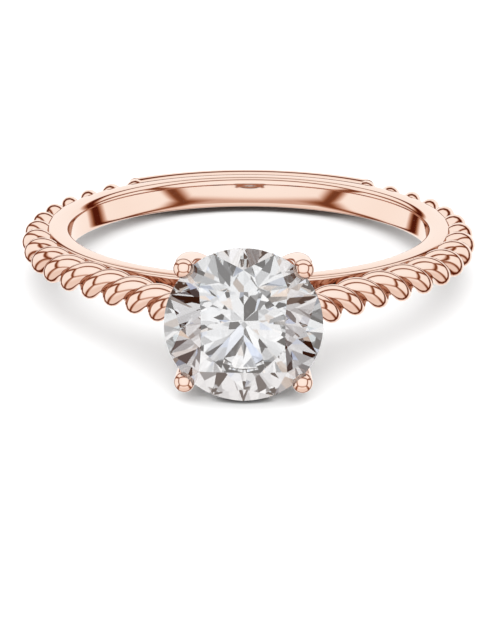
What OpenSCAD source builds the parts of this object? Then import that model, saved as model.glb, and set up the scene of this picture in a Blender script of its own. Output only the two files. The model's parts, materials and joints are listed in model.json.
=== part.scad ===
// Twisted shank ring: a flat polished rail, a two-strand twisted wire along each side of it,
// a plain round wire at the back, and a round brilliant in a four-prong wire head.
// The ring lies on its side, resting on the stone's edge and on the back of the plain wire.
// Ring frame: the finger axis is Z, the head points to -Y. Everything is tilted at the end.

/* [Finger hole and rail] */
// Radius of the finger hole
bore_r = 8.65; // [8.2:0.05:9.4]
// Thickness of the rail, from the finger hole outwards
rail_wall = 1.1; // [0.9:0.05:1.3]
// Width of the rail along the finger
rail_w = 1.6; // [1.4:0.05:1.65]
// Rounding of the rail's inner edges
inner_edge_r = 0.3; // [0.2:0.05:0.4]
// Rounding of the rail's outer edges
outer_edge_r = 0.2; // [0.1:0.05:0.3]

/* [Plain wire at the back] */
// Radius of the plain round wire
plain_wire_r = 0.87; // [0.84:0.01:0.9]
// How far the plain wire's centre stands outside the rail
plain_rise = 0.37; // [0.3:0.01:0.45]
// Half of the angle that the plain wire covers
plain_half_angle = 36; // [30:1:42]

/* [Twisted wire] */
// Radius of one strand
strand_r = 0.46; // [0.44:0.01:0.47]
// Radius of the helix that a strand's centre follows
helix_r = 0.41; // [0.38:0.01:0.42]
// Length of one full turn of a strand
twist_lead = 3.16; // [2.9:0.02:3.6]
// Turn of the first strand where the twisted wire leaves the round part
twist_start = 68.75; // [0:1.25:180]
// How far the twisted wire's centre line stands outside the rail
rope_rise = 0.35; // [0.34:0.01:0.42]
// Shift of that centre line towards the head
rope_shift = 0.2; // [0.05:0.01:0.2]
// Angle from the head at which the twisted wire turns straight
rope_straight_from = 46.4; // [45:0.1:48]

/* [Head] */
// Distance of the prong tips from the head's axis
tip_reach = 3.67; // [3.66:0.01:3.75]
// Radius of the prong wire
prong_r = 0.44; // [0.42:0.01:0.45]
// Radius of the ball on each prong
tip_r = 0.455; // [0.45:0.005:0.5]
// Bend radius of the upper part of a prong
upper_bend_r = 5.1; // [5:0.05:5.3]
// Angle of the upper bend
upper_bend_angle = 24; // [23:0.5:25]
// Height of the wires' centre above the rail where they meet
cross_rise = 0.19; // [0.15:0.01:0.22]
// Radius of the ball of solder where they meet
solder_r = 0.52; // [0.5:0.01:0.54]
// Radius of the gallery ring's centre line
gallery_ring_r = 2.42; // [2.4:0.01:2.5]
// Radius of the gallery ring's wire
gallery_wire_r = 0.35; // [0.33:0.01:0.36]
// Height of the gallery ring above the rail
gallery_rise = 1.85; // [1.8:0.01:1.9]

/* [Stone] */
// Radius of the stone
stone_r = 3.48; // [3.42:0.01:3.5]
// Thickness of the girdle where it is thickest
girdle_t = 0.2; // [0.16:0.01:0.24]
// Table radius as a share of the stone's radius
table_share = 0.57; // [0.53:0.01:0.6]
// Angle of the kite facets to the girdle
crown_angle = 34.5; // [33:0.5:35.5]
// Angle of the main facets below the girdle
pavilion_angle = 40.75; // [40.25:0.25:41.25]
// Radius at which the star facets end, as a share of the stone's radius
star_share = 0.78; // [0.76:0.01:0.8]
// Radius at which the lower halves end, as a share of the stone's radius
lower_share = 0.23; // [0.2:0.01:0.25]
// Depth of the girdle's middle below the centre of the prong balls
stone_drop = 0.15; // [0.13:0.01:0.17]

/* [Hidden] */
gap = 0.02;
end_gap = 0.05;
rail_r = bore_r + rail_wall;
plain_path_r = rail_r + plain_rise;
rope_path_r = rail_r + rope_rise;
seat_r = rail_r + gap;
gallery_z = rail_r + gallery_rise;

// A prong is two bends. The lower one is drawn a hair thinner, starts inside the upper one
// and would be level where it reaches the axis, but it ends inside the ball of solder there.
thinner = 0.01;
bend_overlap = 2;
solder_reach = 3;
neck_r = tip_reach - upper_bend_r * (1 - cos(upper_bend_angle));
lower_bend_r = neck_r / cos(upper_bend_angle);
neck_z = rail_r + cross_rise + lower_bend_r * (1 - sin(upper_bend_angle));
prong_top_z = neck_z + upper_bend_r * sin(upper_bend_angle);
tip_lift = 0.1;
tip_z = prong_top_z + tip_lift;

// Stone heights, along the head's axis
girdle_z = tip_z - stone_drop;
girdle_top = girdle_z + girdle_t / 2;
girdle_bottom = girdle_z - girdle_t / 2;
table_r = stone_r * table_share;
table_h = (stone_r - table_r) * tan(crown_angle);
pavilion_h = stone_r * tan(pavilion_angle);
FACETS = 8;
facet_step = 360 / FACETS;
// The star facets' seam points straight down at the floor
first_kite = -90 + facet_step / 2;
star_r = stone_r * star_share;
star_h = (stone_r - star_r * cos(facet_step / 2)) * tan(crown_angle);
lower_r = stone_r * lower_share;
lower_h = (stone_r - lower_r * cos(facet_step / 2)) * tan(pavilion_angle);
// A half facet cuts deepest into the girdle midway along its line on the rim
half_run = cos(facet_step / 4);
upper_dip = stone_r * (1 - half_run) * star_h / ((stone_r - star_r) * half_run);
lower_dip = stone_r * (1 - half_run) * lower_h / ((stone_r - lower_r) * half_run);

// Rest: the stone's lower edge and the plain wire both touch the floor
rest_run = girdle_bottom + plain_path_r;
rest_tilt = atan2(stone_r, rest_run) - asin(plain_wire_r / norm([stone_r, rest_run]));
rest_lift = plain_path_r * sin(rest_tilt) + plain_wire_r;
// The lower corner of the table is the front end, the plain wire the back end
table_y = -(girdle_top + table_h);
table_corner_z = -table_r * cos(facet_step / 2);
front_y = table_y * cos(rest_tilt) + table_corner_z * sin(rest_tilt);
back_y = plain_path_r * cos(rest_tilt) + plain_wire_r;
rest_shift = -(front_y + back_y) / 2;

GOLD = "#E9B9A2";
GOLD_SHADE = "#DFA88F";
DIAMOND = "#E6EDF2";

// Everything below is drawn in the ring's own frame and laid down by this module.
module at_rest() {
  translate([0, rest_shift, rest_lift])
    rotate([-rest_tilt, 0, 0])
      children();
}

// The head's own frame: its axis is Z, and X stays X.
module on_head_axis() {
  rotate([90, 0, 0])
    children();
}

// Half section of the rail with its four edges rounded
module rail_section() {
  half_w = rail_w / 2;
  translate([bore_r + inner_edge_r, -half_w])
    square([rail_wall - inner_edge_r - outer_edge_r, rail_w]);
  translate([bore_r, -half_w + inner_edge_r])
    square([inner_edge_r, rail_w - 2 * inner_edge_r]);
  translate([rail_r - outer_edge_r, -half_w + outer_edge_r])
    square([outer_edge_r, rail_w - 2 * outer_edge_r]);
  for (side = [-1, 1]) {
    translate([bore_r + inner_edge_r, side * (half_w - inner_edge_r)])
      circle(r = inner_edge_r, $fn = 48);
    translate([rail_r - outer_edge_r, side * (half_w - outer_edge_r)])
      circle(r = outer_edge_r, $fn = 48);
  }
}

module rail() {
  rotate_extrude($fn = 180)
    rail_section();
}

// Plain round wire around the back of the rail, centred on +Y
module plain_wire() {
  rotate([0, 0, 90 - plain_half_angle])
    rotate_extrude(angle = 2 * plain_half_angle, $fn = 180)
      translate([plain_path_r, 0])
        circle(r = plain_wire_r, $fn = 64);
}

// Part of a ring of round wire in the plane of X and Z, from one angle to another
module bent_wire(bend_r, wire_r, from, to) {
  rotate([90, 0, 0])
    rotate([0, 0, from])
      rotate_extrude(angle = to - from, $fn = 180)
        translate([bend_r, 0])
          circle(r = wire_r, $fn = 48);
}

// One prong, from its ball down to the axis, in the plane of X and Z
module prong() {
  translate([tip_reach, 0, tip_z])
    sphere(r = tip_r, $fn = 64);
  translate([tip_reach - upper_bend_r, 0, prong_top_z])
    bent_wire(upper_bend_r, prong_r, -upper_bend_angle, 0);
  translate([0, 0, neck_z + lower_bend_r * sin(upper_bend_angle)])
    bent_wire(
      lower_bend_r,
      prong_r - thinner,
      solder_reach - 90,
      bend_overlap - upper_bend_angle
    );
}

module solder() {
  translate([0, 0, rail_r + cross_rise])
    sphere(r = solder_r, $fn = 64);
}

module gallery_ring() {
  translate([0, 0, gallery_z])
    rotate_extrude($fn = 96)
      translate([gallery_ring_r, 0])
        circle(r = gallery_wire_r, $fn = 48);
}

// Room for the stone: its outline at the seams turned round the head's axis, with a little play
module stone_room() {
  room_r = stone_r + gap;
  floor_z = girdle_bottom - lower_h - gap;
  roof_z = girdle_top + star_h + gap;
  rotate_extrude($fn = 96)
    polygon([
      [0, floor_z],
      [lower_r, floor_z],
      [room_r, girdle_bottom - gap],
      [room_r, girdle_top + gap],
      [star_r + gap, roof_z],
      [0, roof_z]
    ]);
}

module head() {
  on_head_axis()
    difference() {
      union() {
        for (quarter = [0:3])
          rotate([0, 0, 45 + 90 * quarter])
            prong();
        gallery_ring();
        solder();
      }
      stone_room();
    }
}

// Rail, plain wire and head are soldered together.
module band_and_head() {
  color(GOLD)
    at_rest()
      union() {
        rail();
        plain_wire();
        head();
      }
}

// Centre line of the right-hand twisted wire. Its length s is 0 where the wire turns straight,
// grows towards the back of the ring and is negative on the straight stretch to the head.
function path_angle(s) = rope_straight_from + max(s, 0) / rope_path_r * 180 / PI;
function along(a) = [cos(a), sin(a), 0];
function outward(a) = [sin(a), -cos(a), 0];
function path_point(s) =
  let (a = path_angle(s))
  [0, -rope_shift, 0] + rope_path_r * outward(a) + min(s, 0) * along(a);

// The twisted wire stops just short of the plain wire and of the gallery ring.
stop_angle = 180 - plain_half_angle - end_gap / rope_path_r * 180 / PI;
back_angle = stop_angle + asin(rope_shift * sin(stop_angle) / rope_path_r);
rope_back_s = (back_angle - rope_straight_from) * PI / 180 * rope_path_r;
to_gallery = path_point(0) - [gallery_ring_r, -gallery_z, 0];
rope_front_s = gallery_wire_r + end_gap - to_gallery * along(rope_straight_from);
STEPS_PER_TURN = 18;
STATIONS = ceil((rope_back_s - rope_front_s) / (twist_lead / STEPS_PER_TURN));
station_step = (rope_back_s - rope_front_s) / STATIONS;

// Outline of one strand where a plane across the twisted wire cuts it. A round wire that follows
// a helix is a row of balls: this is the furthest that any of them reaches in direction a.
function ball_cut2(f) = strand_r * strand_r - pow(twist_lead * f / 360, 2);
function reach(a) =
  max([
    for (f = [-50:5:50])
      let (left = ball_cut2(f) - pow(helix_r * sin(a - f), 2))
      left > 0 ? helix_r * cos(a - f) + sqrt(left) : 0
  ]);
OUTLINE_ANGLES = [-86, -62, -37, -12, 12, 37, 62, 86];
inner_hollow = 0.12;
OUTLINE = concat(
  [for (a = OUTLINE_ANGLES) reach(a) * [cos(a), sin(a)]],
  [[inner_hollow, 0]]
);

// A point that would lie in the rail is moved out to the rail's face.
function off_rail(p) =
  let (r = norm([p.x, p.y]))
  r < seat_r ? [p.x * seat_r / r, p.y * seat_r / r, p.z] : p;

function strand_section(s, turn) =
  let (
    centre = path_point(s),
    out = outward(path_angle(s)),
    up = [0, 0, 1],
    across = cos(turn) * out + sin(turn) * up,
    beside = cos(turn) * up - sin(turn) * out
  )
  [for (p = OUTLINE) off_rail(centre + p.x * across + p.y * beside)];

// One strand of the right-hand twisted wire
module strand(first_turn) {
  count = len(OUTLINE);
  points = [
    for (i = [0:STATIONS])
      let (s = rope_front_s + i * station_step)
      each strand_section(s, first_turn - 360 * s / twist_lead)
  ];
  sides = [
    for (i = [0:STATIONS - 1], j = [0:count - 1])
      let (
        a = i * count + j,
        b = i * count + (j + 1) % count
      )
      each [[a, b, a + count], [b, b + count, a + count]]
  ];
  front = [for (j = [1:count - 2]) [count - 1, j, j - 1]];
  last = STATIONS * count;
  back = [for (j = [1:count - 2]) [last + count - 1, last + j - 1, last + j]];
  polyhedron(points = points, faces = concat(sides, front, back), convexity = 10);
}

module strand_right_a() {
  color(GOLD_SHADE) at_rest() strand(twist_start);
}

module strand_right_b() {
  color(GOLD) at_rest() strand(twist_start + 180);
}

module strand_left_a() {
  color(GOLD_SHADE) at_rest() mirror([1, 0, 0]) strand(twist_start);
}

module strand_left_b() {
  color(GOLD) at_rest() mirror([1, 0, 0]) strand(twist_start + 180);
}

// Corners of the brilliant, listed from the table down. Kite i runs from the table's corner i to
// the rim's corner 4 * i, and the seam of two half facets meets the rim at corner 4 * i + 2.
RIM = 4 * FACETS;
function spot(r, a, z) = [r * cos(a), r * sin(a), z];
function kite_turn(i) = first_kite + i * facet_step;
function seam_turn(i) = kite_turn(i) + facet_step / 2;
function rim_turn(j) = first_kite + j * facet_step / 4;
BRILLIANT = concat(
  [for (i = [0:FACETS - 1]) spot(table_r, kite_turn(i), girdle_top + table_h)],
  [for (i = [0:FACETS - 1]) spot(star_r, seam_turn(i), girdle_top + star_h)],
  [for (j = [0:RIM - 1]) spot(stone_r, rim_turn(j), girdle_top - (j % 2) * upper_dip)],
  [for (j = [0:RIM - 1]) spot(stone_r, rim_turn(j), girdle_bottom + (j % 2) * lower_dip)],
  [for (i = [0:FACETS - 1]) spot(lower_r, seam_turn(i), girdle_bottom - lower_h)],
  [[0, 0, girdle_bottom - pavilion_h]]
);
function table_at(i) = i;
function star_at(i) = FACETS + (i + FACETS) % FACETS;
function top_at(j) = 2 * FACETS + j % RIM;
function bottom_at(j) = 2 * FACETS + RIM + j % RIM;
function lower_at(i) = 2 * FACETS + 2 * RIM + (i + FACETS) % FACETS;
CULET = len(BRILLIANT) - 1;

module brilliant() {
  table = [for (i = [FACETS - 1:-1:0]) table_at(i)];
  kites = [for (i = [0:FACETS - 1]) [table_at(i), star_at(i), top_at(4 * i), star_at(i - 1)]];
  stars = [for (i = [0:FACETS - 1]) [table_at(i), table_at((i + 1) % FACETS), star_at(i)]];
  mains = [for (i = [0:FACETS - 1]) [bottom_at(4 * i), lower_at(i), CULET, lower_at(i - 1)]];
  girdle = [for (j = [0:RIM - 1]) [top_at(j), top_at(j + 1), bottom_at(j + 1), bottom_at(j)]];
  upper_halves = [
    for (i = [0:FACETS - 1], j = [4 * i, 4 * i + 2])
      [star_at(i), top_at(j + 2), top_at(j + 1), top_at(j)]
  ];
  lower_halves = [
    for (i = [0:FACETS - 1], j = [4 * i, 4 * i + 2])
      [bottom_at(j), bottom_at(j + 1), bottom_at(j + 2), lower_at(i)]
  ];
  polyhedron(
    points = BRILLIANT,
    faces = concat([table], kites, stars, upper_halves, girdle, lower_halves, mains)
  );
}

module stone() {
  color(DIAMOND, 0.6)
    at_rest()
      on_head_axis()
        brilliant();
}

band_and_head();
strand_left_a();
strand_left_b();
strand_right_a();
strand_right_b();
stone();
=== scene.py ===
# %% [markdown]
# # A ring with a twisted wire shank
#
# This lesson dresses a small gold ring for its studio picture. The ring is a flat polished rail
# around the finger hole, a plain round wire behind it, two strands twisted together along each
# side, and a four-prong head of bent wire that holds one round brilliant.
#
# The solids come from a CAD file. They fix every size and place, so the first cell loads them.

# %% Load the frame
import bmesh
import bpy
import json
import math
from mathutils import Matrix, Vector


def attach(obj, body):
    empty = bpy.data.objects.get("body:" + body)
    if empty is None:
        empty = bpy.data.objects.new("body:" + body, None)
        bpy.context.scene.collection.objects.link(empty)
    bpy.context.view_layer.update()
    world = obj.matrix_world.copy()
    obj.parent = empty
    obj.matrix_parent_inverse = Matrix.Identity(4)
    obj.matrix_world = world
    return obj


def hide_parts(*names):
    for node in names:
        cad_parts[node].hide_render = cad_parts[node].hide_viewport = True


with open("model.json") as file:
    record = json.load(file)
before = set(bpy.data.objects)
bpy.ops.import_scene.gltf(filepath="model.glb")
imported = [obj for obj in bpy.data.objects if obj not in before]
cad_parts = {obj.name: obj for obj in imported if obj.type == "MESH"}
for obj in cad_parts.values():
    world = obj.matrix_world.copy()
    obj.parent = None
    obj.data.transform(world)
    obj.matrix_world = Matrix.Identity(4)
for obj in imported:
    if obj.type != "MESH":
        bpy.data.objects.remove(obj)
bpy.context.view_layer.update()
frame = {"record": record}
MM = 0.001

# %% [markdown]
# ## Where the ring lies
#
# A ring with a tall stone doesn't lie flat: it rests on the stone's edge and on the back of the
# shank, so the finger hole leans a little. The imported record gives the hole's centre and axis.
# One matrix made from them lets each piece be modelled the way a goldsmith draws it, with the
# finger axis along Z and the stone towards -Y, and then be laid down.

# %% The ring's own frame
hole = next(m for m in frame["record"]["mounts"] if m["name"] == "finger_hole")
finger_axis = Vector(hole["axis"]).normalized()
across = Vector((1, 0, 0))
turned = Matrix((across, finger_axis.cross(across), finger_axis)).transposed()
RING = Matrix.Translation(hole["pos_m"]) @ turned.to_4x4()
HEAD = RING @ Matrix.Rotation(math.radians(90), 4, "X")
print("rest angle of the ring:", round(math.degrees(math.acos(finger_axis.z)), 2), "degrees")

# %% [markdown]
# ## Sizes
#
# The driving sizes are those of the CAD model, as a goldsmith would note them: the rail, the plain
# wire behind it, the two strands with the length in which they turn once, and the stone. The
# finger hole's radius is read from the record. A size that only one piece needs is noted beside
# that piece, and the rest is worked out.

# %% Driving sizes
bore_r = hole["dims"]["r_mm"] * MM
rail_r = bore_r + 1.1 * MM
rail_w = 1.6 * MM
plain_wire_r = 0.87 * MM
plain_path_r = rail_r + 0.37 * MM
plain_half_angle = math.radians(36)
strand_r = 0.46 * MM
helix_r = 0.41 * MM
twist_lead = 3.16 * MM
rope_path_r = rail_r + 0.35 * MM
rope_shift = 0.2 * MM
stone_r = 3.48 * MM
print("rail radius in mm:", round(rail_r / MM, 2))

# %% [markdown]
# ## Camera
#
# The picture is taken with a long lens a little above the ring. The camera's place is given as a
# distance, an angle above the plane of the ring and a small angle to the side. It looks at a
# point below the finger hole, because the picture has the ring above its middle, and it is
# rolled by a sixth of a degree.

# %% Camera
camera_distance = 131.4 * MM
camera_rise = math.radians(15.59)
camera_side = math.radians(0.85)
aim_right = 0.08 * MM
aim_up = -4.05 * MM
camera_roll = math.radians(0.16)
camera_lens = 151.2

back = Vector((
    math.sin(camera_side) * math.cos(camera_rise),
    -math.cos(camera_side) * math.cos(camera_rise),
    math.sin(camera_rise),
))
right = Vector((math.cos(camera_side), math.sin(camera_side), 0))
up = back.cross(right)
eye = RING @ (back * camera_distance)
aim = RING @ (right * aim_right + up * aim_up)
view_z = (eye - aim).normalized()
view_x = (turned @ up).cross(view_z).normalized()
view = Matrix((view_x, view_z.cross(view_x), view_z)).transposed().to_4x4()

camera_data = bpy.data.cameras.new("camera")
camera_data.lens = camera_lens
camera_data.clip_start = 5 * MM
camera_data.clip_end = 5
camera = bpy.data.objects.new("camera", camera_data)
camera.matrix_world = Matrix.Translation(eye) @ view @ Matrix.Rotation(camera_roll, 4, "Z")
bpy.context.scene.collection.objects.link(camera)
bpy.context.scene.camera = camera
print("camera height in mm:", round(eye.z / MM, 1))

# %% [markdown]
# ## Helpers
#
# Colours are picked as the hex codes that a screen shows, and one function turns them into the
# linear light that the shaders need. Another adds a node with its settings and links.

# %% Colour and node helpers
def linear(code):
    """A colour such as #F6E4D9 as linear red, green, blue and alpha."""
    parts = [int(code[i:i + 2], 16) / 255 for i in (1, 3, 5)]
    return [c / 12.92 if c <= 0.04045 else ((c + 0.055) / 1.055) ** 2.4 for c in parts] + [1]


def add_node(tree, kind, settings=None, **inputs):
    """Adds a node. The setting stops fills a colour ramp with places and hex colours.

    An input is named after its socket, or _0 for the first one and so on. It is a value, a
    socket to link, or a node, of which the first output in use is linked.
    """
    node = tree.nodes.new(kind)
    for name, value in (settings or {}).items():
        if name == "stops":
            elements = node.color_ramp.elements
            while len(elements) < len(value):
                elements.new(0.5)
            for element, (place, code) in zip(elements, value):
                element.position = place
                element.color = linear(code)
        else:
            setattr(node, name, value)
    for name, value in inputs.items():
        key = int(name[1:]) if name[0] == "_" else name.replace("_", " ")
        if isinstance(value, bpy.types.Node):
            value = next(socket for socket in value.outputs if socket.enabled)
        if isinstance(value, bpy.types.NodeSocket):
            tree.links.new(value, node.inputs[key])
        else:
            node.inputs[key].default_value = value
    return node


print("#808080 is linear", round(linear("#808080")[0], 3))

# %% [markdown]
# ## Finishing a piece
#
# Every piece ends the same way. Its mesh is laid down where it goes, while its object stays at
# the origin. It is shaded smooth except at edges sharper than an angle. Then it is tied to the
# ring's body, and the CAD node that it stands for is hidden.

# %% Piece helper
def finish_piece(name, shape, place, material, node, smooth_angle=40):
    """Makes a piece from a bmesh or a mesh: placed, smoothed, and tied to the ring."""
    mesh = shape
    if isinstance(shape, bmesh.types.BMesh):
        mesh = bpy.data.meshes.new(name)
        shape.to_mesh(mesh)
        shape.free()
    mesh.transform(place)
    mesh.materials.clear()
    mesh.materials.append(material)
    piece = bpy.data.objects.new(name, mesh)
    bpy.context.scene.collection.objects.link(piece)
    mesh.shade_smooth()
    mesh.set_sharp_from_angle(angle=math.radians(smooth_angle))
    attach(piece, "root")
    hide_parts(node)
    print(name, "has", sum(len(face.vertices) - 2 for face in mesh.polygons), "triangles")


print("pieces are drawn about the hole's centre, in mm:", [round(c / MM, 2) for c in hole["pos_m"]])

# %% [markdown]
# ## Rose gold
#
# Rose gold is gold with copper. Polished with rouge it is a mirror with a warm pink tint: white
# light comes back pale peach, and light that bounces twice between two surfaces comes back deeper.
# The tint is therefore the only colour it needs, at full metallic with a low roughness. Buffing
# leaves a faint unevenness. The real one is too fine to show, so it is drawn as a soft noise in
# the roughness, with nearly one swell to a millimetre.

# %% Rose gold
buffed_swells_per_mm = 0.9


def rose_gold():
    material = bpy.data.materials.new("polished_rose_gold")
    material.use_nodes = True
    tree = material.node_tree
    tree.nodes.clear()
    spot = add_node(tree, "ShaderNodeTexCoord").outputs["Object"]
    buffing = add_node(
        tree, "ShaderNodeTexNoise", Vector=spot, Scale=buffed_swells_per_mm / MM, Detail=3.0,
    )
    haze = add_node(tree, "ShaderNodeMapRange", Value=buffing, To_Min=0.035, To_Max=0.075)
    shader = add_node(
        tree, "ShaderNodeBsdfPrincipled",
        Base_Color=linear("#F2DFD3"), Metallic=1.0, Roughness=haze,
    )
    add_node(tree, "ShaderNodeOutputMaterial", Surface=shader)
    return material


gold = rose_gold()
print("made", gold.name)

# %% [markdown]
# ## The rail
#
# The rail is rolled flat wire bent round and polished, so its edges are eased: more inside, where
# the finger goes, than outside. Its section starts as a rectangle, and the bevel operator rounds
# the corners. Polishing also leaves each face slightly crowned, which bends the bands that it
# mirrors. The crown only takes metal away, so the finger hole is no smaller.

# %% Section of the rail
half_w = rail_w / 2
rail_middle = (rail_r + bore_r) / 2
inner_ease = 0.3 * MM
outer_ease = 0.2 * MM
inner_crown = 0.06 * MM
side_crown = 0.025 * MM
# A point this close to the plane of a face lies on it.
touching = 0.0001 * MM


def eased_section():
    """The rail's section at angle 0, standing in the plane of X and Z, with round corners."""
    bm = bmesh.new()
    bmesh.ops.create_grid(bm, x_segments=1, y_segments=1, size=1)
    size = Matrix.Diagonal(((rail_r - bore_r) / 2, half_w, 1, 1))
    stand = Matrix.Rotation(math.radians(90), 4, "X")
    centre = Matrix.Translation((rail_middle, 0, 0))
    bmesh.ops.transform(bm, matrix=centre @ stand @ size, verts=bm.verts)
    for inside, ease in ((True, inner_ease), (False, outer_ease)):
        corners = [v for v in bm.verts if abs(abs(v.co.z) - half_w) < touching
                   and (v.co.x < rail_middle) == inside]
        bmesh.ops.bevel(
            bm, geom=corners, offset=ease, affect="VERTICES", segments=8, profile=0.5, material=-1,
        )
    return bm


def crown_section(bm):
    """Domes the inner face and both sides, and lets the dome fade out round the corners."""
    flat = [e for e in bm.edges if all(abs(v.co.x - bore_r) < touching for v in e.verts)
            or all(abs(abs(v.co.z) - half_w) < touching for v in e.verts)]
    bmesh.ops.subdivide_edges(bm, edges=flat, cuts=11)
    side_start, side_end = bore_r + inner_ease, rail_r - outer_ease
    for v in bm.verts:
        ease = inner_ease if v.co.x < rail_middle else outer_ease
        along_side = (2 * v.co.x - side_start - side_end) / (side_end - side_start)
        below_bore = (v.co.x - bore_r) / inner_ease
        below_side = (half_w - abs(v.co.z)) / ease
        if below_bore < 1:
            v.co.x += inner_crown * (v.co.z / half_w) ** 2 * (1 - below_bore)
        if below_side < 1:
            drop = side_crown * min(along_side ** 2, 1) * (1 - below_side)
            v.co.z -= math.copysign(drop, v.co.z)


section = eased_section()
crown_section(section)
print("points of the rail's section:", len(section.verts))

# %% [markdown]
# ## Spin the rail
#
# The section is spun once round the finger axis. A full spin merges its last ring of points with
# the first, so that the rail is closed.

# %% Rail
def spun(bm, geom, angle, steps):
    """Spins an outline about Z, and closes the seam of a full turn."""
    bmesh.ops.spin(
        bm, geom=geom, cent=(0, 0, 0), axis=(0, 0, 1), angle=angle, steps=steps,
        use_merge=math.isclose(angle, math.tau),
    )


bmesh.ops.delete(section, geom=list(section.faces), context="FACES_ONLY")
spun(section, section.verts[:] + section.edges[:], math.tau, steps=256)
bmesh.ops.recalc_face_normals(section, faces=section.faces)
finish_piece("rail", section, RING, gold, "band_and_head", smooth_angle=30)

# %% [markdown]
# ## The plain wire
#
# Round wire follows the back of the rail, half sunk in it. A circle is spun through the angle
# that the wire covers, its two ends are filled, and their rims get the tiny ease that a file
# leaves.

# %% Plain wire
file_ease = 0.06 * MM


def round_wire(wire_r, bend_r, start, end, steps, segments=48, ease=0.0):
    """Round wire bent about Z from one angle to another, with eased ends where it has any."""
    bm = bmesh.new()
    bmesh.ops.create_circle(bm, segments=segments, radius=wire_r)
    stand = Matrix.Rotation(math.radians(90), 4, "X")
    turn = Matrix.Rotation(start, 4, "Z")
    bmesh.ops.transform(
        bm, matrix=turn @ Matrix.Translation((bend_r, 0, 0)) @ stand, verts=bm.verts,
    )
    spun(bm, bm.verts[:] + bm.edges[:], end - start, steps)
    rims = [e for e in bm.edges if e.is_boundary]
    if rims:
        bmesh.ops.holes_fill(bm, edges=rims)
        bmesh.ops.bevel(
            bm, geom=rims, offset=ease, affect="EDGES", segments=4, profile=0.5, material=-1,
        )
    bmesh.ops.recalc_face_normals(bm, faces=bm.faces)
    return bm


plain_wire = round_wire(
    plain_wire_r, plain_path_r,
    math.radians(90) - plain_half_angle, math.radians(90) + plain_half_angle,
    steps=96, ease=file_ease,
)
finish_piece("plain_wire", plain_wire, RING, gold, "band_and_head")

# %% [markdown]
# ## The twisted wire
#
# Two round wires are twisted in a vice and the cord is bent along the rail. Its centre line is an
# arc that leaves the rail slowly, then a straight stretch up to the head.

# %% Centre line of the twisted wire
straight_from = math.radians(46.4)
to_plain_wire = math.radians(144.5)
straight_length = 6.35 * MM


def path_point(s):
    """Point and outward direction at length s, which is negative on the straight stretch."""
    angle = straight_from + max(s, 0) / rope_path_r
    outward = Vector((math.sin(angle), -math.cos(angle), 0))
    along = Vector((math.cos(angle), math.sin(angle), 0))
    return Vector((0, -rope_shift, 0)) + rope_path_r * outward + min(s, 0) * along, outward


path_start = -straight_length
path_end = (to_plain_wire - straight_from) * rope_path_r
print("twisted wire on each side, in mm:", round((path_end - path_start) / MM, 2))

# %% [markdown]
# ## The strands
#
# Each strand is a curve whose points run round the centre line, once in a lead, with a round
# bevel. A curve keeps the wire's radius true in every bend, which a swept mesh would need care
# for. The second strand starts half a turn later, and the left side mirrors the right one.

# %% Strands
twist_start = 1.2
points_per_turn = 40


def strand(name, side, first_turn, node):
    """One strand on the left, with side -1, or on the right, with side 1."""
    steps = round((path_end - path_start) / twist_lead * points_per_turn)
    curve = bpy.data.curves.new(name, "CURVE")
    curve.dimensions = "3D"
    curve.bevel_depth = strand_r
    curve.bevel_resolution = 6
    curve.use_fill_caps = True
    line = curve.splines.new("POLY")
    line.points.add(steps)
    upward = Vector((0, 0, 1))
    for i, point in enumerate(line.points):
        s = path_start + (path_end - path_start) * i / steps
        centre, outward = path_point(s)
        turn = first_turn - math.tau * s / twist_lead
        spot = centre + helix_r * (math.cos(turn) * outward + math.sin(turn) * upward)
        point.co = (side * spot.x, spot.y, spot.z, 1)
    drawn = bpy.data.objects.new(name + "_line", curve)
    mesh = bpy.data.meshes.new_from_object(drawn)
    bpy.data.objects.remove(drawn)
    bpy.data.curves.remove(curve)
    mesh.name = name
    finish_piece(name, mesh, RING, gold, node, smooth_angle=60)


for side, word in ((-1, "left"), (1, "right")):
    for letter, turn in (("a", twist_start), ("b", twist_start + math.pi)):
        node = "strand_" + word + "_" + letter
        strand(node + "_wire", side, turn, node)

# %% [markdown]
# ## The head
#
# Four round wires stand around the stone. Each is bent twice, wide near its tip and tighter
# below, so that it meets the others on the rail, where a ball of solder joins them. A ring of
# thinner wire, the gallery, ties them halfway down, and each tip is melted into a little ball.
# The head is drawn upright, with the stone's axis along Z. The lower bend's radius and height
# follow from the upper bend, because the two arcs have to run into each other smoothly.

# %% Sizes of the head
prong_r = 0.44 * MM
tip_r = 0.455 * MM
tip_reach = 3.67 * MM
tip_lift = 0.1 * MM
upper_bend_r = 5.1 * MM
upper_bend = math.radians(24)
gallery_wire_r = 0.35 * MM
gallery_r = 2.42 * MM
gallery_z = rail_r + 1.85 * MM
solder_r = 0.52 * MM
solder_z = rail_r + 0.19 * MM
neck_r = tip_reach - upper_bend_r * (1 - math.cos(upper_bend))
lower_bend_r = neck_r / math.cos(upper_bend)
neck_z = solder_z + lower_bend_r * (1 - math.sin(upper_bend))
prong_top_z = neck_z + upper_bend_r * math.sin(upper_bend)
tip_z = prong_top_z + tip_lift
print("height of the prong tips in mm:", round(tip_z / MM, 2))

# %% [markdown]
# ## Prongs, balls and gallery
#
# A circle spun twice gives a prong with both of its bends. The balls are spheres, and the gallery
# is round wire bent full circle. All of them go into one bmesh, still as parts that overlap.

# %% Parts of the head
def joined(parts):
    """One bmesh from several, each with the matrix that places it."""
    mesh = bpy.data.meshes.new("joined")
    whole = bmesh.new()
    for part, place in parts:
        bmesh.ops.transform(part, matrix=place, verts=part.verts)
        part.to_mesh(mesh)
        part.free()
        whole.from_mesh(mesh)
    bpy.data.meshes.remove(mesh)
    return whole


def ball(radius, z, x=0.0):
    """A melted ball at height z, and x away from the head's axis."""
    bm = bmesh.new()
    bmesh.ops.create_uvsphere(bm, u_segments=48, v_segments=32, radius=radius)
    bmesh.ops.translate(bm, vec=(x, 0, z), verts=bm.verts)
    return bm


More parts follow.
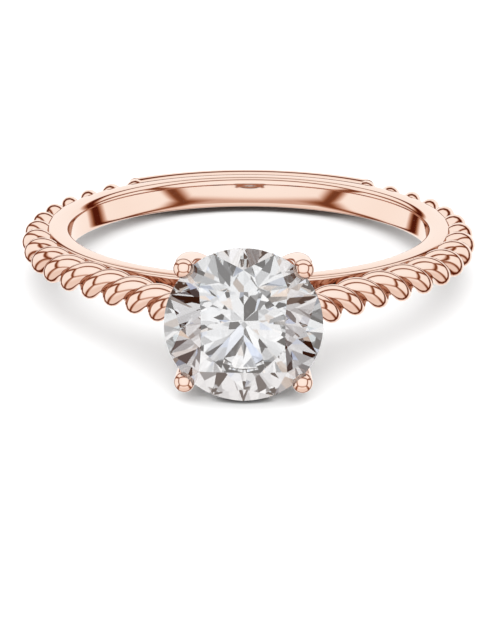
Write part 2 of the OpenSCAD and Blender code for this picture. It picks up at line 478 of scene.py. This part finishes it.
def prong_arc():
    """Both bends of a prong as one wire, in the plane of X and Z."""
    bm = bmesh.new()
    ring = bmesh.ops.create_circle(bm, segments=40, radius=prong_r)["verts"]
    bmesh.ops.translate(bm, vec=(tip_reach, 0, prong_top_z), verts=ring)
    loop = bm.verts[:] + bm.edges[:]
    upper_centre = (tip_reach - upper_bend_r, 0, prong_top_z)
    upper = bmesh.ops.spin(
        bm, geom=loop, cent=upper_centre, axis=(0, 1, 0), angle=upper_bend, steps=16,
    )
    lower_centre = (0, 0, neck_z + lower_bend_r * math.sin(upper_bend))
    bmesh.ops.spin(
        bm, geom=upper["geom_last"], cent=lower_centre, axis=(0, 1, 0),
        angle=math.radians(90) - upper_bend, steps=32,
    )
    bmesh.ops.holes_fill(bm, edges=[e for e in bm.edges if e.is_boundary])
    bmesh.ops.recalc_face_normals(bm, faces=bm.faces)
    return bm


parts = []
for quarter in range(4):
    place = Matrix.Rotation(math.radians(45 + 90 * quarter), 4, "Z")
    parts.append((prong_arc(), place))
    parts.append((ball(tip_r, tip_z, tip_reach), place))
gallery = round_wire(gallery_wire_r, gallery_r, 0, math.tau, steps=96, segments=32)
parts.append((gallery, Matrix.Translation((0, 0, gallery_z))))
parts.append((ball(solder_r, solder_z), Matrix.Identity(4)))
head_parts = joined(parts)
print("parts of the head:", len(parts))

# %% [markdown]
# ## The stone
#
# A cutter grinds a brilliant out of a round blank, one flat facet after another, and the same
# works here: a cylinder is cut by one plane for each facet, and what lies past the plane goes.
# The crown has a table, 8 kites, 8 stars and 16 half facets, the pavilion 8 mains and 16 halves.
# A cutter sets the angles of the kites and mains. The slopes of the stars and halves follow from
# the corners at which they have to meet the others.

# %% Sizes of the stone
girdle_t = 0.2 * MM
girdle_below_tips = 0.15 * MM
girdle_top = tip_z - girdle_below_tips + girdle_t / 2
girdle_bottom = girdle_top - girdle_t
table_r = 0.57 * stone_r
star_r = 0.78 * stone_r
lower_r = 0.23 * stone_r
crown_slope = math.tan(math.radians(34.5))
pavilion_slope = math.tan(math.radians(40.75))
half_turn = math.radians(22.5)
table_h = (stone_r - table_r) * crown_slope
star_h = (stone_r - star_r * math.cos(half_turn)) * crown_slope
lower_h = (stone_r - lower_r * math.cos(half_turn)) * pavilion_slope
star_slope = (table_h - star_h) / (star_r - table_r * math.cos(half_turn))
upper_half_slope = star_h / ((stone_r - star_r) * math.cos(half_turn / 2))
lower_half_slope = lower_h / ((stone_r - lower_r) * math.cos(half_turn / 2))
half_r = stone_r * math.cos(half_turn / 2)
first_kite = math.radians(-67.5)
stone_h = table_h + girdle_t + stone_r * pavilion_slope
print("stone height in mm:", round(stone_h / MM, 2))

# %% [markdown]
# ## Grind the facets
#
# The bisect operator cuts the blank by a plane and clears what lies outside, and the open rim is
# filled with the new facet. Each round of the loop cuts a kite, the main below it, the star next
# to them and the halves on either side, and eight rounds make the stone.

# %% Cut the stone
weld = 0.001 * MM


def grind(bm, turn, slope, radius, z, crown):
    """Cuts one facet through the point at that turn and radius, and closes the cut."""
    way = 1 if crown else -1
    normal = Vector((slope * math.cos(turn), slope * math.sin(turn), way)).normalized()
    point = (radius * math.cos(turn), radius * math.sin(turn), z)
    cut = bmesh.ops.bisect_plane(
        bm, geom=bm.verts[:] + bm.edges[:] + bm.faces[:], dist=touching / 10,
        plane_co=point, plane_no=normal, clear_outer=True,
    )
    rim = [e for e in cut["geom_cut"] if isinstance(e, bmesh.types.BMEdge)]
    bmesh.ops.contextual_create(bm, geom=rim)


def brilliant():
    """The finished stone, ground from a cylinder as high as the stone."""
    bm = bmesh.new()
    bmesh.ops.create_cone(
        bm, cap_ends=True, segments=128, radius1=stone_r, radius2=stone_r, depth=stone_h,
    )
    blank_z = girdle_top + table_h - stone_h / 2
    bmesh.ops.translate(bm, vec=(0, 0, blank_z), verts=bm.verts)
    for i in range(8):
        kite = first_kite + 2 * half_turn * i
        grind(bm, kite, crown_slope, stone_r, girdle_top, True)
        grind(bm, kite, pavilion_slope, stone_r, girdle_bottom, False)
        grind(bm, kite + half_turn, star_slope, star_r, girdle_top + star_h, True)
        for half in (-half_turn / 2, half_turn / 2):
            grind(bm, kite + half, upper_half_slope, half_r, girdle_top, True)
            grind(bm, kite + half, lower_half_slope, half_r, girdle_bottom, False)
    bmesh.ops.remove_doubles(bm, verts=bm.verts, dist=weld)
    bmesh.ops.recalc_face_normals(bm, faces=bm.faces)
    return bm


stone = brilliant()
seat = stone.copy()
print("facets of the stone, with those of its girdle:", len(stone.faces))

# %% [markdown]
# ## Diamond
#
# Diamond is clear and takes a perfect polish, so it has no colour and no roughness. It bends
# light far more than glass does, with an index of 2.417. That makes the pavilion a mirror from
# inside and fills the stone with splinters of what stands around it.

# %% Diamond
def diamond():
    material = bpy.data.materials.new("polished_diamond")
    material.use_nodes = True
    tree = material.node_tree
    tree.nodes.clear()
    shader = add_node(
        tree, "ShaderNodeBsdfPrincipled",
        Base_Color=(1, 1, 1, 1), Roughness=0.0, IOR=2.417, Transmission_Weight=1.0,
    )
    add_node(tree, "ShaderNodeOutputMaterial", Surface=shader)
    return material


finish_piece("round_brilliant", stone, HEAD, diamond(), "stone", smooth_angle=5)

# %% [markdown]
# ## Solder the head and cut its seats
#
# The wires, balls and gallery are soldered into one piece, and a notch is cut in each prong where
# the girdle sits. One exact boolean does both. It takes a slightly larger stone away from the
# parts, and its Self Intersection option also melts the parts into each other.

# %% Solder and notch
def cut_away(overlapping, cutting):
    """Joins overlapping shells into one mesh, with the cutting shape taken out of it."""
    pair = []
    for name, shape in (("head_parts", overlapping), ("seat_cutter", cutting)):
        mesh = bpy.data.meshes.new(name)
        shape.to_mesh(mesh)
        shape.free()
        pair.append(bpy.data.objects.new(name, mesh))
        bpy.context.scene.collection.objects.link(pair[-1])
    body, cutter = pair
    cut = body.modifiers.new("seats", "BOOLEAN")
    cut.operation = "DIFFERENCE"
    cut.solver = "EXACT"
    cut.use_self = True
    cut.object = cutter
    graph = bpy.context.evaluated_depsgraph_get()
    mesh = bpy.data.meshes.new_from_object(body.evaluated_get(graph))
    for done in pair:
        old = done.data
        bpy.data.objects.remove(done)
        bpy.data.meshes.remove(old)
    mesh.name = "prong_head"
    return mesh


seat_gap = 0.02 * MM
grow = 1 + seat_gap / stone_r
girdle_centre = Vector((0, 0, (girdle_top + girdle_bottom) / 2))
about_girdle = Matrix.Translation(-girdle_centre)
bmesh.ops.scale(seat, vec=(grow, grow, grow), space=about_girdle, verts=seat.verts)
finish_piece(
    "prong_head", cut_away(head_parts, seat), HEAD, gold, "band_and_head", smooth_angle=30,
)

# %% [markdown]
# ## The floor
#
# The ring is shot on a sheet of white card. Card is matt, because its fibres scatter the light.
# In the narrow gap right under the ring it gets hardly any light, and that shade is a painted
# contact shadow: the ambient occlusion node, which tells how much open space a spot sees close by,
# darkens the card's own colour there into a dark line. The gold and the stone are not to see the
# card, but the tent that goes on below it, so that they stay bright.

# %% Floor
# How far from the ring the painted contact shadow on the card reaches.
painted_shadow_reach = 0.35 * MM
floor_half = 1.5


def white_card_with_painted_shadow():
    material = bpy.data.materials.new("white_card_with_painted_shadow")
    material.use_nodes = True
    tree = material.node_tree
    tree.nodes.clear()
    # Painted shadow: the card's colour is darkened where the ambient occlusion finds the ring close
    # by.
    gap = add_node(tree, "ShaderNodeAmbientOcclusion", Distance=painted_shadow_reach)
    card_with_painted_shadow = add_node(tree, "ShaderNodeValToRGB", {"stops": (
        (0.0, "#404040"), (0.5, "#8A8A8A"), (0.8, "#EEEEEE"), (1.0, "#F7F7F7"),
    )}, Fac=gap.outputs["AO"])
    shader = add_node(tree, "ShaderNodeBsdfPrincipled", Base_Color=card_with_painted_shadow, Roughness=0.6)
    add_node(tree, "ShaderNodeOutputMaterial", Surface=shader)
    return material


floor_mesh = bpy.data.meshes.new("floor")
sheet = bmesh.new()
bmesh.ops.create_grid(sheet, x_segments=1, y_segments=1, size=floor_half)
sheet.to_mesh(floor_mesh)
sheet.free()
floor_mesh.materials.append(white_card_with_painted_shadow())
floor = bpy.data.objects.new("floor", floor_mesh)
bpy.context.scene.collection.objects.link(floor)
floor.visible_glossy = False
floor.visible_transmission = False
print("floor in m:", 2 * floor_half)

# %% [markdown]
# ## Panels of the tent
#
# Polished jewellery mirrors everything, so it is shot inside a tent of white cloth. This tent is
# a box around the ring, and it needs no mesh: the world gives each direction a colour. An arrow
# points at the middle of each panel and is shorter the further off that panel stands. The front
# panel hangs above and behind the camera, tilted down towards the ring.

# %% Arrows to the panels
tent_turn = math.radians(-3.4)
tent_rise = math.radians(34.3)
half_width = 1.91
half_height = 1.09
drop_to_base = 1.5 * half_height
tent_right = Vector((math.cos(tent_turn), math.sin(tent_turn), 0))
level_front = Vector((math.sin(tent_turn), -math.cos(tent_turn), 0))
tent_front = level_front * math.cos(tent_rise) + Vector((0, 0, math.sin(tent_rise)))
tent_up = tent_front.cross(tent_right)
opening_turn = math.radians(-9)
opening_drop = math.radians(15)
level_opening = Vector((-math.sin(opening_turn), math.cos(opening_turn), 0))
tent_opening = level_opening * math.cos(opening_drop) - Vector((0, 0, math.sin(opening_drop)))
print("tent front faces up by", round(math.degrees(tent_rise), 1), "degrees")

# %% [markdown]
# ## How squarely a ray meets each panel
#
# The dot product of a ray's direction and an arrow tells how squarely the ray meets that panel.
# The world isn't sampled as a lamp as well, because each kind of ray is to find a light of its
# own, and lamp samples would mix them. The plain view transform keeps white card white.

# %% World
world = bpy.data.worlds.new("light_tent")
world.use_nodes = True
world.cycles.sampling_method = "NONE"
bpy.context.scene.world = world
bpy.context.scene.view_settings.view_transform = "Standard"
tent = world.node_tree
tent.nodes.clear()
way = add_node(tent, "ShaderNodeTexCoord").outputs["Generated"]
ray = add_node(tent, "ShaderNodeLightPath").outputs
toward = {}
for word, arrow in (
    ("front", tent_front), ("side", tent_right / half_width), ("roof", tent_up / half_height),
    ("base", -tent_up / drop_to_base), ("down", -tent_up), ("sky", Vector((0, 0, 1))),
    ("opening", tent_opening),
):
    toward[word] = add_node(
        tent, "ShaderNodeVectorMath", {"operation": "DOT_PRODUCT"}, _0=way, _1=arrow,
    )
print("directions in the tent:", ", ".join(toward))

# %% [markdown]
# ## Seams
#
# Where two panels are sewn together the cloth is double and lets less light in, and polished gold
# shows each seam as a thin brown line. A ray hits the panel that it meets most squarely, and it
# is near a seam when the second value of the three is nearly as large as the largest.

# %% Nearness to a seam
side = add_node(tent, "ShaderNodeMath", {"operation": "ABSOLUTE"}, _0=toward["side"])
front = add_node(tent, "ShaderNodeMath", {"operation": "MAXIMUM"}, _0=toward["front"], _1=0.0)
upright = add_node(
    tent, "ShaderNodeMath", {"operation": "MAXIMUM"}, _0=toward["roof"], _1=toward["base"],
)
more = add_node(tent, "ShaderNodeMath", {"operation": "MAXIMUM"}, _0=side, _1=front)
less = add_node(tent, "ShaderNodeMath", {"operation": "MINIMUM"}, _0=side, _1=front)
largest = add_node(tent, "ShaderNodeMath", {"operation": "MAXIMUM"}, _0=more, _1=upright)
rival = add_node(tent, "ShaderNodeMath", {"operation": "MINIMUM"}, _0=more, _1=upright)
second = add_node(tent, "ShaderNodeMath", {"operation": "MAXIMUM"}, _0=less, _1=rival)
share = add_node(tent, "ShaderNodeMath", {"operation": "DIVIDE"}, _0=second, _1=largest)
off_seam = add_node(tent, "ShaderNodeMath", {"operation": "SUBTRACT"}, _0=1.0, _1=share)
print("nodes in the tent so far:", len(tent.nodes))

# %% [markdown]
# ## Soft seams
#
# The seam lets a little light through and fades softly to the cloth on both sides. Low down,
# towards the base, it is faint, and the open end behind the ring has none.

# %% Seams
seam_light = 0.12
seam_core = 0.04
seam_fade = 0.40
base_from = 0.6
base_to = 0.72
base_seam_light = 0.6
opening_from = 0.65
edge = add_node(
    tent, "ShaderNodeMapRange", {"interpolation_type": "SMOOTHSTEP"},
    Value=off_seam, From_Min=seam_core, From_Max=seam_fade, To_Min=seam_light,
)
faint = add_node(
    tent, "ShaderNodeMapRange",
    Value=toward["down"], From_Min=base_from, From_Max=base_to, To_Max=base_seam_light,
)
open_end = add_node(
    tent, "ShaderNodeMath", {"operation": "GREATER_THAN"}, _0=toward["opening"], _1=opening_from,
)
sewn = add_node(tent, "ShaderNodeMath", {"operation": "MAXIMUM"}, _0=edge, _1=faint)
seam = add_node(tent, "ShaderNodeMath", {"operation": "MAXIMUM"}, _0=sewn, _1=open_end)
print("light on a seam:", seam_light, "and near the base:", base_seam_light)

# %% [markdown]
# ## Cloth and hoop
#
# The cloth is nearly even, a little brighter in front and a little darker at the bottom. A dark
# hoop holds the tent's open end behind the ring, and the inside of the rail mirrors it as brown
# bands. On both ramps 0 is straight away from the arrow, and 1 is straight along it.

# %% Cloth and hoop
base_light = 0.84
ahead = add_node(
    tent, "ShaderNodeMath", {"operation": "MULTIPLY_ADD"}, _0=toward["front"], _1=0.5, _2=0.5,
)
cloth = add_node(tent, "ShaderNodeValToRGB", {"stops": (
    (0.0, "#F2F2F2"), (0.25, "#F2F2F2"), (0.4, "#F0F0F0"), (0.65, "#F5F5F5"),
    (0.8, "#F1F1F1"), (1.0, "#FBFBFB"),
)}, Fac=ahead)
low = add_node(
    tent, "ShaderNodeMapRange", {"interpolation_type": "SMOOTHSTEP"},
    Value=toward["sky"], From_Min=-0.95, From_Max=-0.3, To_Min=base_light,
)
to_opening = add_node(
    tent, "ShaderNodeMath", {"operation": "MULTIPLY_ADD"}, _0=toward["opening"], _1=0.5, _2=0.5,
)
hoop = add_node(tent, "ShaderNodeValToRGB", {"stops": (
    (0.0, "#FFFFFF"), (0.75, "#FFFFFF"), (0.805, "#202020"), (0.845, "#202020"),
    (0.895, "#FFFFFF"),
)}, Fac=to_opening)
print("light of the lowest cloth:", base_light)

# %% [markdown]
# ## What the gold mirrors
#
# Cloth, low light, hoop and seams multiply to one level. Light that was mirrored more than twice
# has lost some on the way and is halved. A ramp then turns the level into a colour: white stays
# white, and shade turns a coppery brown, as it does between two polished gold faces.

# %% Mirrored light
worn_light = 0.5
deep = add_node(
    tent, "ShaderNodeMath", {"operation": "GREATER_THAN"}, _0=ray["Ray Depth"], _1=2.5,
)
level = add_node(
    tent, "ShaderNodeMath", {"operation": "MULTIPLY_ADD"}, _0=deep, _1=worn_light - 1, _2=1.0,
)
for part in (cloth, low, hoop, seam):
    level = add_node(tent, "ShaderNodeMath", {"operation": "MULTIPLY"}, _0=level, _1=part)
mirrored = add_node(tent, "ShaderNodeValToRGB", {"stops": (
    (0.0, "#4A1206"), (0.2, "#8A5236"), (0.34, "#A87A64"), (0.53, "#C9A595"),
    (0.74, "#EAD6CC"), (0.86, "#F8F0EB"), (1.0, "#FFFFFF"),
)}, Fac=level)
print("light after more than two mirrors:", worn_light)

# %% [markdown]
# ## What shows through the stone
#
# A brilliant breaks its surroundings into splinters, and even cloth would leave it blank. So the
# rays that leave it find the tent hung with small cards from white to black, some with a faint
# blue or peach tint. The cells of a Voronoi texture are such cards, each with a random colour:
# its red picks the grey, and its green picks the tint.

# %% Cards around the stone
card_width = 1 / 20
cards = add_node(tent, "ShaderNodeTexVoronoi", Vector=way, Scale=1 / card_width)
pick = add_node(tent, "ShaderNodeSeparateColor", Color=cards.outputs["Color"])
greys = add_node(tent, "ShaderNodeValToRGB", {"stops": (
    (0.0, "#000000"), (0.08, "#0A0A0A"), (0.14, "#58595B"), (0.26, "#9A9C9E"),
    (0.42, "#C7C9CB"), (0.6, "#E9EBED"), (1.0, "#F2F3F4"),
)}, Fac=pick.outputs["Red"])
tints = add_node(tent, "ShaderNodeValToRGB", {"stops": (
    (0.0, "#D6E2FA"), (0.12, "#FFFFFF"), (0.88, "#FFFFFF"), (1.0, "#FAE4D2"),
)}, Fac=pick.outputs["Green"])
hung_cards = add_node(
    tent, "ShaderNodeMix", {"data_type": "RGBA", "blend_type": "MULTIPLY"},
    _0=1.0, _6=greys, _7=tints,
)
print("width of a card in degrees:", round(math.degrees(card_width), 1))

# %% [markdown]
# ## A light for each kind of ray
#
# The Light Path node tells what kind of ray asks. Mirrored light is for gold. In the list below a
# later line outdoes the ones before it:
#
# - gold seen through the stone gets an even cool light, which keeps the stone neutral
# - rays that leave the stone find the cards
# - light that reaches the floor by way of the ring is dim, so that the shadow stays grey
# - open floor gets a soft light that is strongest from the front
# - the camera finds plain white past the floor

# %% Rays
past_stone = add_node(
    tent, "ShaderNodeMath", {"operation": "GREATER_THAN"},
    _0=ray["Transmission Depth"], _1=0.5,
)
by_way_of_ring = add_node(
    tent, "ShaderNodeMath", {"operation": "GREATER_THAN"}, _0=ray["Diffuse Depth"], _1=0.5,
)
on_floor = add_node(tent, "ShaderNodeMapRange", Value=ahead, To_Min=0.62, To_Max=1.98)
glow = mirrored
for kind, light in (
    (past_stone, (0.7, 0.92, 1.08, 1)),
    (ray["Is Transmission Ray"], hung_cards),
    (by_way_of_ring, (0.12, 0.12, 0.12, 1)),
    (ray["Is Diffuse Ray"], on_floor),
    (ray["Is Camera Ray"], (1, 1, 1, 1)),
):
    glow = add_node(tent, "ShaderNodeMix", {"data_type": "RGBA"}, _0=kind, _6=glow, _7=light)
shine = add_node(tent, "ShaderNodeBackground", Color=glow, Strength=1.15)
add_node(tent, "ShaderNodeOutputWorld", Surface=shine)
print("nodes in the tent:", len(tent.nodes))
